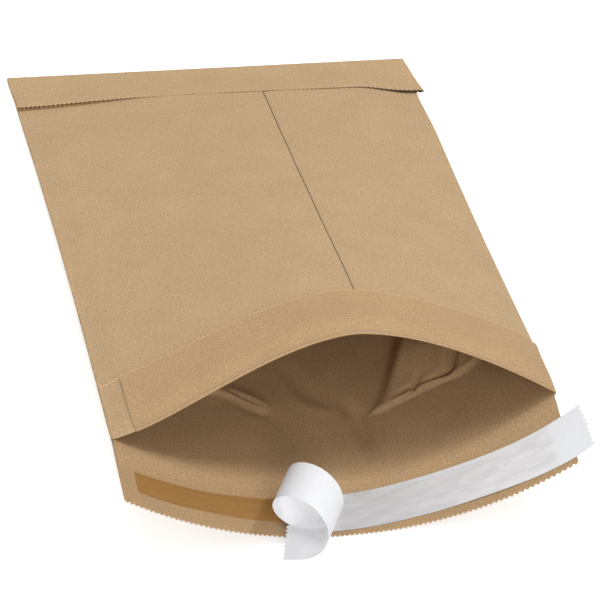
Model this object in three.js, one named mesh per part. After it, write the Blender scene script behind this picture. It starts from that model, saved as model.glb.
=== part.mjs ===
// A padded kraft envelope, lying on a table with its mouth open.
// A web of two paper plies with padding between them is rolled into a flat tube and overlapped
// along the upper panel. The far end is folded over and glued, the upper panel's near end is
// folded back as a lip, and the lower panel runs on as a flap with adhesive under a release liner.
// Millimetres, +Z up, the mouth towards -Y, the table at z = 0.

import * as THREE from 'three';

// The flat envelope
const PANEL_WIDTH = 241.3;
const PANEL_LENGTH = 330.2;
const FLAP_LENGTH = 38.1;
const LIP_DEPTH = 38.1;
const BOTTOM_LAP = 28;
const SEAM_FROM_LEFT = 147;
const WEB_START_FROM_LEFT = 14.5;
const WEB_END_FROM_LEFT = 5;

// How far the mouth stands open
const SIDE_RISE = 38.5;
const MOUTH_ARCH = 45;
const ARCH_PEAK_FROM_CENTRE = 5;
const BELLY_FROM_CENTRE = 6;
const BELLY_POWER = 2.07;
const LEFT_ARCH_POWERS = [1.8, 1.5];
const RIGHT_ARCH_POWERS = [1.6, 1];
const LIP_SPREAD = 2.5;

// Layers
const PLY = 0.3;
const PADDING = 2.4;
const GLUE_FILM = 0.15;
const LAYER_GAP = 0.15;
const PADDING_TAPER = 12;
const PADDING_PAST_MOUTH = 12;
const SEAM_GLUE_WIDTH = 14;
const GLUE_MARGIN = 4;

// Knife teeth along every cut end
const TOOTH_PITCH = 2.65;
const TOOTH_DEPTH = 1.2;

// Adhesive and release liner on the flap
const ADHESIVE_WIDTH = 14;
const ADHESIVE_FROM_FLAP_EDGE = 10;
const ADHESIVE_SIDE_MARGIN = 4;
const ADHESIVE_FILM = 0.2;
const LINER_WIDTH = 22.5;
const LINER_FILM = 0.2;
const LINER_FROM_FLAP_EDGE = 3.2;
const LINER_OVERHANG = 8;
const LIFT_OFF_LEFT_OF_CENTRE = 12;
const LIFT_START = 0.3;
const LIFT_LENGTH = 9.5;
const LIFT_ANGLE = THREE.MathUtils.degToRad(23.5);
const CURL_RADIUS = 18.5;
const CURL_TIGHTENING_PER_RADIAN = 0.93;
const CURL_TURN = THREE.MathUtils.degToRad(325);
const CURL_SKEW = THREE.MathUtils.degToRad(30.7);
const CURL_HELIX = THREE.MathUtils.degToRad(13.8);
const TAIL_LENGTH = 11.3;

// Mesh fineness
const PANEL_CELLS = 11;
const EDGE_CELLS = 2;
const LENGTH_CELLS = 3;
const TURN_CELLS = 3;
const LIFT_CELLS = 3;
const CURL_CELLS = 24;
const TOOTHED_STRIP = 3;

const KRAFT = { color: 0xc9a06c, roughness: 0.85, metalness: 0 };
const INNER_KRAFT = { color: 0xb8905f, roughness: 0.88, metalness: 0 };
const MACERATED = { color: 0x9c958a, roughness: 0.95, metalness: 0 };
const GLUE = { color: 0xd8c39a, roughness: 0.5, metalness: 0 };
const AMBER = { color: 0xa8723a, roughness: 0.3, metalness: 0 };
const LINER = { color: 0xeeecea, roughness: 0.55, metalness: 0 };

// Distances of the faces from the middle of the hollow, where there is no padding
const INNER_FACE = LAYER_GAP;
const INNER_BACK = INNER_FACE + PLY;
const OUTER_BACK = INNER_BACK + LAYER_GAP;
const OUTER_FACE = OUTER_BACK + PLY;
const OVERLAP_LIFT = PLY + GLUE_FILM + 2 * LAYER_GAP;
const FOLD_SPACE = GLUE_FILM + 2 * LAYER_GAP;
const FULL_PADDING = PADDING + LAYER_GAP;
const HALF_WIDTH = PANEL_WIDTH / 2;

const clamp = THREE.MathUtils.clamp;
const lerp = THREE.MathUtils.lerp;
const smooth = (t) => THREE.MathUtils.smoothstep(t, 0, 1);

// A place across a panel runs from -1 at the left fold to 1 at the right fold.
const acrossFromLeft = (distance) => distance / HALF_WIDTH - 1;
const SEAM = acrossFromLeft(SEAM_FROM_LEFT);
const WEB_START = acrossFromLeft(WEB_START_FROM_LEFT);
const WEB_END = acrossFromLeft(WEB_END_FROM_LEFT);
const LIFT_RAMP = WEB_START - WEB_END;
const SEAM_GLUE_END = SEAM - GLUE_MARGIN / HALF_WIDTH;
const SEAM_GLUE_START = SEAM_GLUE_END - SEAM_GLUE_WIDTH / HALF_WIDTH;
const ARCH_PEAK = ARCH_PEAK_FROM_CENTRE / HALF_WIDTH;
const BELLY = BELLY_FROM_CENTRE / HALF_WIDTH;

// The opening grows evenly from the bottom lap's free edge to the mouth.
const openness = (along) => clamp((along - BOTTOM_LAP) / (PANEL_LENGTH - BOTTOM_LAP), 0, 1);

function arch(across) {
  const right = across > ARCH_PEAK;
  const [inner, outer] = right ? RIGHT_ARCH_POWERS : LEFT_ARCH_POWERS;
  const reach = right ? 1 - ARCH_PEAK : 1 + ARCH_PEAK;
  const share = clamp(Math.abs(across - ARCH_PEAK) / reach, 0, 1);
  return (1 - share ** inner) ** outer;
}

function belly(across) {
  const reach = across > BELLY ? 1 - BELLY : 1 + BELLY;
  return (Math.abs(across - BELLY) / reach) ** BELLY_POWER;
}

const lowerRise = (across, open) => SIDE_RISE * open * belly(across);
const upperRise = (across, open) => open * (SIDE_RISE + MOUTH_ARCH * arch(across));

// Half the distance between the side folds, where the upper panel's paper is as long as it is flat
function halfChord(open) {
  const steps = 60;
  let half = HALF_WIDTH;
  for (let round = 0; round < 12; round += 1) {
    let length = 0;
    for (let step = 0; step < steps; step += 1) {
      const from = -1 + (2 * step) / steps;
      const to = from + 2 / steps;
      length += Math.hypot((to - from) * half, upperRise(to, open) - upperRise(from, open));
    }
    half *= 1 - (length - PANEL_WIDTH) / PANEL_WIDTH;
  }
  return half;
}

const halfChords = new Map();
function halfChordAt(along) {
  const open = openness(along);
  if (!halfChords.has(open)) halfChords.set(open, halfChord(open));
  return halfChords.get(open);
}

// Room that the padding takes between the plies; upper is 0 on the lower panel and 1 on the upper
function paddingRoom(along, upper) {
  const start = smooth((along - BOTTOM_LAP) / PADDING_TAPER);
  const lowerEnd = smooth((PANEL_LENGTH + PADDING_PAST_MOUTH - along) / PADDING_TAPER);
  const upperEnd = smooth((PANEL_LENGTH - along) / PADDING_TAPER);
  return FULL_PADDING * start * lerp(lowerEnd, upperEnd, upper);
}

// How much the overlapping tail lies above the web's start, with a ramp at each side
function overlapLift(across) {
  const rising = clamp((across + 1) / (WEB_END + 1), 0, 1);
  const falling = clamp((SEAM + LIFT_RAMP - across) / LIFT_RAMP, 0, 1);
  return OVERLAP_LIFT * Math.min(rising, falling);
}

// The middle of the hollow, and the direction out of it, in a section across the envelope
function sectionFrame(column, along) {
  const open = openness(along);
  const half = halfChordAt(along);
  const floor = OUTER_FACE + paddingRoom(along, 0);
  const rise = column.upper === 0 ? lowerRise : upperRise;
  const step = 1e-3;
  const slope = (curve, at) => {
    const low = Math.max(-1, at - step);
    const high = Math.min(1, at + step);
    return (curve(high, open) - curve(low, open)) / ((high - low) * half);
  };
  const across = column.across;
  const below = Math.atan2(-1, slope(lowerRise, across)) + (across > 0 ? 0 : 2 * Math.PI);
  const above = Math.atan2(1, -slope(upperRise, across));
  const angle = lerp(below, above, column.upper);
  const height = rise(across, open);
  return {
    x: half * across,
    z: floor + height,
    height,
    out: [Math.cos(angle), Math.sin(angle)],
  };
}

// The place of a face on a panel, by its distance from the middle of the hollow
function onPanel(column, along, distance) {
  const frame = sectionFrame(column, along);
  const pastLap = Math.max(along - BOTTOM_LAP, 0);
  const atMouth = Math.min(pastLap, PANEL_LENGTH - BOTTOM_LAP);
  const level = Math.sqrt(Math.max(atMouth ** 2 - frame.height ** 2, 0));
  const run = Math.min(along, BOTTOM_LAP) + level + (pastLap - atMouth);
  const x = frame.x + frame.out[0] * distance;
  const z = frame.z + frame.out[1] * distance;
  return new THREE.Vector3(x, -run, z);
}

// Row makers: each gives the place of a face from its column and its distance from the hollow
let rowCount = 0;
function row(place) {
  rowCount += 1;
  return { id: rowCount, place };
}

const panelRow = (along) => row((column, layer, side) => {
  const room = layer.outside(side) ? paddingRoom(along, column.upper) : 0;
  return onPanel(column, along, layer.distance(column, side) + room);
});

// The bottom lap turns up about a line above the far end and lies back over the upper panel.
function bottomTurnCentre() {
  return 2 * OUTER_FACE + OVERLAP_LIFT + FOLD_SPACE / 2;
}

const bottomRow = (turn, back) => row((column, layer, side) => {
  const flat = onPanel(column, 0, layer.distance(column, side));
  const centre = bottomTurnCentre();
  const reach = centre - flat.z;
  return new THREE.Vector3(flat.x, Math.sin(turn) * reach - back, centre - Math.cos(turn) * reach);
});

// The lip turns up and back about a line along the mouth, and its plies change order.
const lipRow = (turn, back) => row((column, layer, side) => {
  const along = PANEL_LENGTH - back;
  const top = OUTER_FACE + overlapLift(column.across);
  const room = paddingRoom(along, 1);
  const centre = top + room + FOLD_SPACE / 2;
  const reach = top - layer.distance(column, side) + FOLD_SPACE / 2;
  const place = onPanel(column, along, centre - Math.cos(turn) * reach);
  place.y -= Math.sin(turn) * reach;
  place.x += (column.across * LIP_SPREAD * back) / LIP_DEPTH;
  return place;
});

// Columns go round the section from the web's start to its end.
function evenly(from, to, count) {
  return Array.from({ length: count + 1 }, (_, index) => lerp(from, to, index / count));
}

function uniqueSorted(values) {
  const sorted = [...values].sort((a, b) => a - b);
  return sorted.filter((value, index) => index === 0 || value - sorted[index - 1] > 1e-6);
}

// Even places are kept clear of the marked ones, so that no cell is a sliver.
function stations() {
  const marked = [-1, WEB_END, WEB_START, SEAM_GLUE_START, SEAM_GLUE_END, SEAM, SEAM + LIFT_RAMP, 1];
  const clear = 0.6 / PANEL_CELLS;
  const even = evenly(-1, 1, PANEL_CELLS).filter((place) => marked.every((mark) => Math.abs(mark - place) > clear));
  return uniqueSorted([...marked, ...even]);
}

const STATIONS = stations();
const upperPlaces = (from, to) => STATIONS.filter((place) => place >= from - 1e-6 && place <= to + 1e-6);
const upperColumns = (from, to, tail) => upperPlaces(from, to).map((across) => ({ across, upper: 1, tail }));
const lowerColumns = () => [...STATIONS].reverse().map((across) => ({ across, upper: 0, tail: false }));
const foldColumns = (across, from, to) => evenly(from, to, EDGE_CELLS)
  .slice(1, -1)
  .map((upper) => ({ across, upper, tail: false }));

function webColumns(end) {
  return [
    ...upperColumns(WEB_START, 1, false),
    ...foldColumns(1, 1, 0),
    ...lowerColumns(),
    ...foldColumns(-1, 0, 1),
    ...upperColumns(-1, end, true),
  ];
}

// Rows shared by every layer, so that all layers have matching facets
const taper = (from, direction) => [0.35, 0.7, 1].map((share) => from + direction * share * PADDING_TAPER);
const LIP_EDGE = LIP_DEPTH - TOOTH_DEPTH;
const panelPlaces = uniqueSorted([
  BOTTOM_LAP,
  ...taper(BOTTOM_LAP, 1),
  ...evenly(BOTTOM_LAP + PADDING_TAPER, PANEL_LENGTH - LIP_EDGE, LENGTH_CELLS),
  PANEL_LENGTH - LIP_EDGE + TOOTHED_STRIP,
  ...taper(PANEL_LENGTH, -1),
]);
const PANEL_ROWS = panelPlaces.map(panelRow);
const MOUTH_ROW = panelRow(PANEL_LENGTH);
const FLAT_ROW = panelRow(0);
const PADDING_END = PANEL_LENGTH + PADDING_PAST_MOUTH;
const FLAP_EDGE = PANEL_LENGTH + FLAP_LENGTH - TOOTH_DEPTH;
const flapPlaces = [...taper(PADDING_END, -1).reverse(), PADDING_END, FLAP_EDGE - TOOTHED_STRIP]
  .filter((place) => place > PANEL_LENGTH + PLY);
const FLAP_ROWS = flapPlaces.map(panelRow);
const FLAP_END_ROW = panelRow(FLAP_EDGE);
const BOTTOM_END_ROW = bottomRow(Math.PI, BOTTOM_LAP - TOOTH_DEPTH);
const BOTTOM_TURN_ROWS = evenly(Math.PI, 0, TURN_CELLS).slice(0, -1).map((turn) => bottomRow(turn, 0));
const LIP_TURN_ROWS = evenly(0, Math.PI, TURN_CELLS).slice(1).map((turn) => lipRow(turn, 0));
const LIP_BACK_ROWS = [...taper(0, 1), LIP_EDGE - TOOTHED_STRIP].map((back) => lipRow(Math.PI, back));
const LIP_END_ROW = lipRow(Math.PI, LIP_EDGE);

// A closed body between two faces over patches of cells, with toothed ends where asked
class Sheet {
  constructor(layer) {
    this.layer = layer;
    this.points = [];
    this.known = new Map();
    this.upward = [];
  }

  vertex(rowOf, column) {
    const key = `${rowOf.id}/${column.across}/${column.upper}/${column.tail}`;
    if (!this.known.has(key)) {
      this.known.set(key, this.pair(rowOf.place(column, this.layer, 0), rowOf.place(column, this.layer, 1)));
    }
    return this.known.get(key);
  }

  pair(face, back) {
    this.points.push([face, back]);
    return this.points.length - 1;
  }

  between(a, b, share) {
    const [faceA, backA] = this.points[a];
    const [faceB, backB] = this.points[b];
    return this.pair(faceA.clone().lerp(faceB, share), backA.clone().lerp(backB, share));
  }

  quad(a, b, c, d) {
    this.upward.push([a, b, c], [a, c, d]);
  }

  // A patch that is folded back takes the other diagonals, so that its facets match those below.
  patch(rows, columns, foldedBack = false) {
    for (let r = 0; r + 1 < rows.length; r += 1) {
      for (let c = 0; c + 1 < columns.length; c += 1) {
        const corners = [[r, c], [r, c + 1], [r + 1, c + 1], [r + 1, c]];
        if (foldedBack) corners.push(corners.shift());
        this.quad(...corners.map(([i, j]) => this.vertex(rows[i], columns[j])));
      }
    }
    return this;
  }

  // The last strip before a cut end: its far edge is a row of teeth.
  cutEnd(inner, outer, columns) {
    for (let c = 0; c + 1 < columns.length; c += 1) {
      const corners = [[inner, c], [inner, c + 1], [outer, c + 1], [outer, c]];
      this.toothedCell(...corners.map(([rowOf, j]) => this.vertex(rowOf, columns[j])));
    }
    return this;
  }

  toothedCell(innerA, innerB, outerB, outerA) {
    const width = this.points[outerA][0].distanceTo(this.points[outerB][0]);
    const teeth = Math.max(1, Math.round(width / TOOTH_PITCH));
    const reach = TOOTH_DEPTH / this.points[innerA][0].distanceTo(this.points[outerA][0]);
    const line = evenly(0, 1, teeth).slice(1, -1).map((share) => this.between(outerA, outerB, share));
    const valleys = [outerA, ...line, outerB];
    const middle = Math.floor(teeth / 2);
    for (let tooth = 0; tooth < teeth; tooth += 1) {
      const root = tooth < middle ? innerA : innerB;
      this.upward.push([root, valleys[tooth + 1], valleys[tooth]]);
      this.upward.push([valleys[tooth], valleys[tooth + 1], this.tip(valleys, tooth, [innerA, outerA], reach)]);
    }
    this.upward.push([innerA, innerB, valleys[middle]]);
  }

  tip(valleys, tooth, [inner, outer], reach) {
    const sides = [0, 1].map((side) => {
      const middle = this.points[valleys[tooth]][side].clone().lerp(this.points[valleys[tooth + 1]][side], 0.5);
      const forward = this.points[outer][side].clone().sub(this.points[inner][side]);
      return middle.addScaledVector(forward, reach);
    });
    return this.pair(...sides);
  }

  // Walls go round every edge that only one cell has.
  mesh(name, material) {
    const faces = this.upward.flatMap(([a, b, c]) => [[2 * a, 2 * b, 2 * c], [2 * a + 1, 2 * c + 1, 2 * b + 1]]);
    const edges = new Set();
    for (const [a, b, c] of this.upward) {
      for (const [from, to] of [[a, b], [b, c], [c, a]]) edges.add(`${from},${to}`);
    }
    for (const edge of edges) {
      const [from, to] = edge.split(',').map(Number);
      if (!edges.has(`${to},${from}`)) {
        faces.push([2 * to, 2 * from, 2 * from + 1], [2 * to, 2 * from + 1, 2 * to + 1]);
      }
    }
    const flat = this.points.flat();
    if (signedVolume(flat, faces) < 0) faces.forEach((face) => face.reverse());
    const geometry = new THREE.BufferGeometry().setFromPoints(flat);
    geometry.setIndex(faces.flat());
    geometry.computeVertexNormals();
    const mesh = new THREE.Mesh(geometry, new THREE.MeshStandardMaterial(material));
    mesh.name = name;
    return mesh;
  }
}

function signedVolume(points, faces) {
  const cross = new THREE.Vector3();
  return faces.reduce((sum, [a, b, c]) => sum + cross.crossVectors(points[b], points[c]).dot(points[a]), 0);
}

// The outer ply goes once round and overlaps its own start as far as the seam.
function outerSheet() {
  const distances = [OUTER_FACE, OUTER_BACK];
  const layer = {
    outside: () => true,
    distance: (column, side) => distances[side] + (column.tail ? overlapLift(column.across) : 0),
  };
  const around = webColumns(SEAM);
  const sheet = new Sheet(layer);
  sheet.patch([...BOTTOM_TURN_ROWS, FLAT_ROW, ...PANEL_ROWS, MOUTH_ROW], around);
  sheet.cutEnd(BOTTOM_TURN_ROWS[0], BOTTOM_END_ROW, [...around].reverse());
  addFlap(sheet);
  addLip(sheet, upperColumns(WEB_START, 1, false));
  addLip(sheet, upperColumns(-1, SEAM, true));
  return sheet.mesh('outer_sheet', KRAFT);
}

function addFlap(sheet) {
  sheet.patch([MOUTH_ROW, ...FLAP_ROWS], lowerColumns());
  sheet.cutEnd(FLAP_ROWS.at(-1), FLAP_END_ROW, lowerColumns());
}

function addLip(sheet, columns) {
  const back = [MOUTH_ROW, ...LIP_TURN_ROWS, ...LIP_BACK_ROWS];
  sheet.patch(back, columns, true);
  sheet.cutEnd(back.at(-1), LIP_END_ROW, columns);
}

// The inner ply ends just past the left fold, short of the web's start.
function innerSheet() {
  const distances = [INNER_BACK, INNER_FACE];
  const layer = { outside: () => false, distance: (column, side) => distances[side] };
  const around = webColumns(WEB_END);
  const sheet = new Sheet(layer);
  sheet.patch([BOTTOM_END_ROW, ...BOTTOM_TURN_ROWS, FLAT_ROW, ...PANEL_ROWS, MOUTH_ROW], around);
  addFlap(sheet);
  addLip(sheet, upperColumns(WEB_START, 1, false));
  return sheet.mesh('inner_sheet', INNER_KRAFT);
}

// The padding thins out before the bottom lap and before the lip, and runs a little way into the flap.
function padding() {
  const distances = [OUTER_BACK - LAYER_GAP, INNER_BACK + LAYER_GAP];
  const layer = { outside: (side) => side === 0, distance: (column, side) => distances[side] };
  const sheet = new Sheet(layer);
  const lastInside = PANEL_ROWS.at(-1);
  const ramp = flapPlaces.filter((place) => place < PADDING_END - PLY).length;
  sheet.patch(PANEL_ROWS.slice(1), webColumns(WEB_END));
  sheet.patch([lastInside, MOUTH_ROW, ...FLAP_ROWS.slice(0, ramp)], lowerColumns());
  return sheet.mesh('padding', MACERATED);
}

// A glue film lies on the upper panel's top face, under whatever laps over it there.
const onUpperPanel = (places) => places.map((across) => ({ across, upper: 1, tail: false }));

function film(name, rows, places, bottom, top) {
  const layer = { outside: () => true, distance: (column, side) => (side === 0 ? top : bottom)(column.across) };
  return new Sheet(layer).patch(rows, onUpperPanel(places)).mesh(name, GLUE);
}

function seamGlue() {
  const bottom = OUTER_FACE + LAYER_GAP;
  const places = upperPlaces(SEAM_GLUE_START, SEAM_GLUE_END);
  return film('seam_glue', [FLAT_ROW, ...PANEL_ROWS], places, () => bottom, () => bottom + GLUE_FILM);
}

const insideFolds = () => STATIONS.slice(1, -1);

function lipGlue() {
  const rows = PANEL_ROWS.filter((_, index) => panelPlaces[index] > PANEL_LENGTH - LIP_EDGE + PLY);
  const bottom = (across) => OUTER_FACE + overlapLift(across) + LAYER_GAP;
  return film('lip_glue', rows, insideFolds(), bottom, (across) => bottom(across) + GLUE_FILM);
}

// Under the bottom lap the glue fills the room that the single ply leaves right of the seam.
function bottomGlue() {
  const rows = [GLUE_MARGIN, BOTTOM_LAP - GLUE_MARGIN].map(panelRow);
  const bottom = (across) => OUTER_FACE + overlapLift(across) + LAYER_GAP;
  const top = (across) => bottom(across) + GLUE_FILM + 2 * (OVERLAP_LIFT - overlapLift(across));
  return film('bottom_glue', rows, insideFolds(), bottom, top);
}

// A place on the flap's upper face, on the same facets as the sheets
function onFlap(across, along, height) {
  const found = STATIONS.findIndex((place) => place > across);
  const next = found < 1 ? STATIONS.length - 1 : found;
  const share = (across - STATIONS[next - 1]) / (STATIONS[next] - STATIONS[next - 1]);
  const [from, to] = [STATIONS[next - 1], STATIONS[next]].map((place) => {
    const column = { across: place, upper: 0, tail: false };
    return onPanel(column, along, INNER_FACE - height);
  });
  return from.lerp(to, share);
}

function adhesiveStrip() {
  const nearEdge = PANEL_LENGTH + FLAP_LENGTH - ADHESIVE_FROM_FLAP_EDGE;
  const end = 1 - ADHESIVE_SIDE_MARGIN / HALF_WIDTH;
  const places = [-end, ...STATIONS.filter((place) => Math.abs(place) < end), end];
  const columns = places.map((across) => ({ across, upper: 0, tail: false }));
  const heights = [LAYER_GAP, LAYER_GAP + ADHESIVE_FILM];
  const flapRow = (along) => row((column, layer, side) => onFlap(column.across, along, heights[side]));
  return new Sheet(null)
    .patch([nearEdge - ADHESIVE_WIDTH, nearEdge].map(flapRow), columns)
    .mesh('adhesive_strip', AMBER);
}

// The directions at a step of the free part: along the curl's axis towards the viewer, square to the
// axis along the paper, and out of the paper. The axis swings round while the liner lifts off.
function curlFrame(swing, heading) {
  const skew = lerp(CURL_HELIX, CURL_SKEW, smooth(swing));
  const axis = new THREE.Vector3(-Math.sin(skew), -Math.cos(skew), 0);
  const level = new THREE.Vector3(-Math.cos(skew), Math.sin(skew), 0);
  const onward = level.clone().multiplyScalar(Math.cos(heading)).setZ(Math.sin(heading));
  const normal = level.clone().multiplyScalar(-Math.sin(heading)).setZ(Math.cos(heading));
  return { axis, onward, normal };
}

// The free part's centre line: it rises off the flap, then goes once round on a helix.
function curlPath(start) {
  const path = [{ centre: start, heading: 0, ...curlFrame(0, 0) }];
  const go = (length, swing, heading) => {
    const last = path.at(-1);
    const { onward, axis } = curlFrame(swing, (last.heading + heading) / 2);
    const centre = last.centre.clone().addScaledVector(onward, length);
    centre.addScaledVector(axis, length * Math.tan(CURL_HELIX));
    path.push({ centre, heading, ...curlFrame(swing, heading) });
  };
  for (let cell = 1; cell <= LIFT_CELLS; cell += 1) {
    go(LIFT_LENGTH / LIFT_CELLS, cell / LIFT_CELLS, LIFT_ANGLE * Math.min(1, (2 * cell) / LIFT_CELLS));
  }
  const step = CURL_TURN / CURL_CELLS;
  for (let cell = 0; cell < CURL_CELLS; cell += 1) {
    const radius = CURL_RADIUS - CURL_TIGHTENING_PER_RADIAN * step * (cell + 0.5);
    go(2 * radius * Math.tan(step / 2), 1, path.at(-1).heading + step);
  }
  return path;
}

// The liner is stuck on the right of the flap. To the left it lifts off, curls over and round, and
// ends in front of the flap. Its rows run along it and its columns across it.
function releaseLiner() {
  const half = halfChordAt(PANEL_LENGTH);
  const centre = PANEL_LENGTH + FLAP_LENGTH - LINER_FROM_FLAP_EDGE - LINER_WIDTH / 2;
  const base = 2 * LAYER_GAP + ADHESIVE_FILM;
  const heights = [base + LINER_FILM, base];
  const stuckRow = (x) => row((column, layer, side) => (
    onFlap(x / half, centre + column.across * LINER_WIDTH, heights[side])));
  const freeRow = (step) => row((column, layer, side) => step.centre.clone()
    .addScaledVector(step.axis, (column.across * LINER_WIDTH) / Math.cos(CURL_HELIX))
    .addScaledVector(step.normal, heights[side]));

  // The tail goes straight on, and its end is cut square.
  const tailRow = (step) => row((column, layer, side) => {
    const forward = column.across * LINER_WIDTH;
    const length = TAIL_LENGTH - TOOTH_DEPTH;
    return step.centre.clone()
      .addScaledVector(step.onward, length * Math.cos(CURL_HELIX) - forward * Math.sin(CURL_HELIX))
      .addScaledVector(step.axis, length * Math.sin(CURL_HELIX) + forward * Math.cos(CURL_HELIX))
      .addScaledVector(step.normal, heights[side]);
  });

  const end = half + LINER_OVERHANG - TOOTH_DEPTH;
  const lastStuck = LINER_WIDTH * Math.tan(CURL_HELIX) - LIFT_OFF_LEFT_OF_CENTRE;
  const stuckPlaces = STATIONS.map((place) => place * half).filter((x) => x > lastStuck).reverse();
  const path = curlPath(onFlap(-LIFT_OFF_LEFT_OF_CENTRE / half, centre, LIFT_START));
  const rows = [...[end - TOOTHED_STRIP, ...stuckPlaces].map(stuckRow), ...path.map(freeRow)];
  const columns = [-0.5, 0, 0.5].map((across) => ({ across, upper: 0, tail: false }));
  return new Sheet(null)
    .patch(rows, columns)
    .cutEnd(rows[0], stuckRow(end), [...columns].reverse())
    .cutEnd(rows.at(-1), tailRow(path.at(-1)), columns)
    .mesh('release_liner', LINER);
}

const envelope = new THREE.Group();
envelope.add(outerSheet(), padding(), innerSheet());
envelope.add(seamGlue(), lipGlue(), bottomGlue());
envelope.add(adhesiveStrip(), releaseLiner());

// The origin is on the table, under the middle of the whole envelope.
const bounds = new THREE.Box3().setFromObject(envelope);
const middle = bounds.getCenter(new THREE.Vector3());
envelope.position.set(-middle.x, -middle.y, -bounds.min.z);

export default envelope;
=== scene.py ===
"""A padded kraft envelope with its mouth open, finished over the plain model of its solids.

Every sheet is laid out again on a fine grid: the two kraft plies with the padding between them,
the glue under the laps, the adhesive on the flap and the curled release liner.
Sizes in this file are in millimetres until a mesh is made, and colours are sRGB.
"""

import math

import bpy
import numpy as np
from mathutils import Matrix, Vector


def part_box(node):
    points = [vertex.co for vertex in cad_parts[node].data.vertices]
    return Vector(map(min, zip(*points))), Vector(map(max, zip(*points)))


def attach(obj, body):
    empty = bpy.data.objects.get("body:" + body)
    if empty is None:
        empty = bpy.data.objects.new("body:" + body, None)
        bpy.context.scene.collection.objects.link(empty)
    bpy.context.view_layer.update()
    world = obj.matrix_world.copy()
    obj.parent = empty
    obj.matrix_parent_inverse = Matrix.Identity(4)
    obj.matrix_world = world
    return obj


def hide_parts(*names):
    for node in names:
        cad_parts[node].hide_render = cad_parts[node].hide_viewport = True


bl_info = {
    "name": "Padded Envelope",
    "version": (1, 0, 0),
    "blender": (4, 5, 0),
    "location": "View3D > Sidebar > Envelope",
    "description": "Makes a padded kraft envelope with an open mouth and a half-peeled liner",
    "category": "Object",
}

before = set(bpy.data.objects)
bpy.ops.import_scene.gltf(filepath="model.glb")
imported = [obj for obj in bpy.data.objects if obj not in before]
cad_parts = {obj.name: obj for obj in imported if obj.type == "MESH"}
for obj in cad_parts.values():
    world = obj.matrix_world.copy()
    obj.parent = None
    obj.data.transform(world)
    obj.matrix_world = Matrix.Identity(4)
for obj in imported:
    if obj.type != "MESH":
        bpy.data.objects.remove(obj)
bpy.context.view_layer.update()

# The flat envelope
PANEL_WIDTH = 241.3
PANEL_LENGTH = 330.2
FLAP_LENGTH = 38.1
LIP_DEPTH = 38.1
BOTTOM_LAP = 28.0
SEAM_FROM_LEFT = 145.6
WEB_START_FROM_LEFT = 12.6
WEB_END_FROM_LEFT = 5.0
HALF_WIDTH = PANEL_WIDTH / 2
GLUE_MARGIN = 4.0
SEAM_GLUE_WIDTH = 14.0

# Rows of the grids: the last one behind the knife teeth, and bands in the tube (start, end, step)
BEHIND_TEETH = 0.6
INNER_ROWS = [(48, 230, 10), (232, 284, 2.6), (284, 296, 0.8), (297, PANEL_LENGTH - 8, 2.6)]
OUTER_ROWS = [(46, PANEL_LENGTH - LIP_DEPTH, 8.0), (PANEL_LENGTH - LIP_DEPTH, PANEL_LENGTH - 13, 5.0)]

# The open mouth
SIDE_RISE = 38.5
MOUTH_ARCH = 45.0
ARCH_PEAK = 5.0 / HALF_WIDTH
BELLY_LOW = 6.0 / HALF_WIDTH
BELLY_POWER = 2.07
LEFT_ARCH_POWERS = (1.8, 1.5)
RIGHT_ARCH_POWERS = (1.6, 1.0)
LIP_SPREAD = 0.6
LIP_STEP = 0.5
SEAM_CURL = 0.4
SIDE_TILT = 2.2
SIDE_PINCH = 1.7
FAR_SHIFT = 1.3
MOUTH_SHIFT = -0.9
MOUTH_SLACK = 1.0
LIP_EDGE_LIFT = 0.55
SEAM_SLANT = 0.08

# The flap: flared and notched at the right, with one corner hanging and one raised
FLAP_FLARE = 2.2
FLAP_NOTCH = 1.5
RIGHT_DROOP = 6.9
LEFT_DROOP = -2.5

# The closed end: the bottom lap's depth and lift at each side, and how its fold bulges
LAP_LEFT = 31.0
LAP_RIGHT = 35.0
LAP_SPREAD = 3.4
LAP_LIFT = 0.1
TOP_END_LIFTS = (1.4, 1.1)
OTHER_END_LIFTS = (0.3, 0.5)
FAR_REACH = 1.1
FAR_REACH_FADE = 160.0
FAR_CORNER = 2.2

# Where the closed end's corners press the padding flat: start and reach, across and along
PRESSED_SHARE = 0.92
PRESSED_LEFT = (-118.0, 88.0)
PRESSED_RIGHT = (118.0, -36.0)
PRESSED_ALONG = (26.0, 64.0)

# Tone of folds and edges: paler above 0, with a painted highlight above 0.9, and painted shade below 0
FOLD_PAINTED_HIGHLIGHT = 1.15
LIP_SHADE = 0.4
LIP_EDGE_PALE_AND_HIGHLIGHT = 1.65
LAP_EDGE_PAINTED_SHADE = -1.0
SEAM_PAINTED_SHADOW = -1.0
LIP_PALE_TONE = 1.045

# Layers, thinner than the solid model's, with the same thickness over all
PLY = 0.16
LAYER_GAP = 0.04
GLUE_FILM = 0.06
INNER_FACE = LAYER_GAP
INNER_BACK = INNER_FACE + PLY
OUTER_BACK = INNER_BACK + LAYER_GAP
OUTER_FACE = OUTER_BACK + PLY
OVERLAP_LIFT = PLY + GLUE_FILM + 2 * LAYER_GAP
FOLD_SPACE = GLUE_FILM + 2 * LAYER_GAP
PADDED_THICKNESS = 3.45
FULL_PADDING = PADDED_THICKNESS - OUTER_FACE
PADDING_START = 2.0
PADDING_START_TAPER = 34.0
PADDING_TAPER = 12.0
FLAP_TAPER = 8.5
PADDING_PAST_MOUTH = 12.0
PAD_CLEARANCE = 0.12
SIDE_TAPER = 15.0
SIDE_SHARE = 0.22

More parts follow.
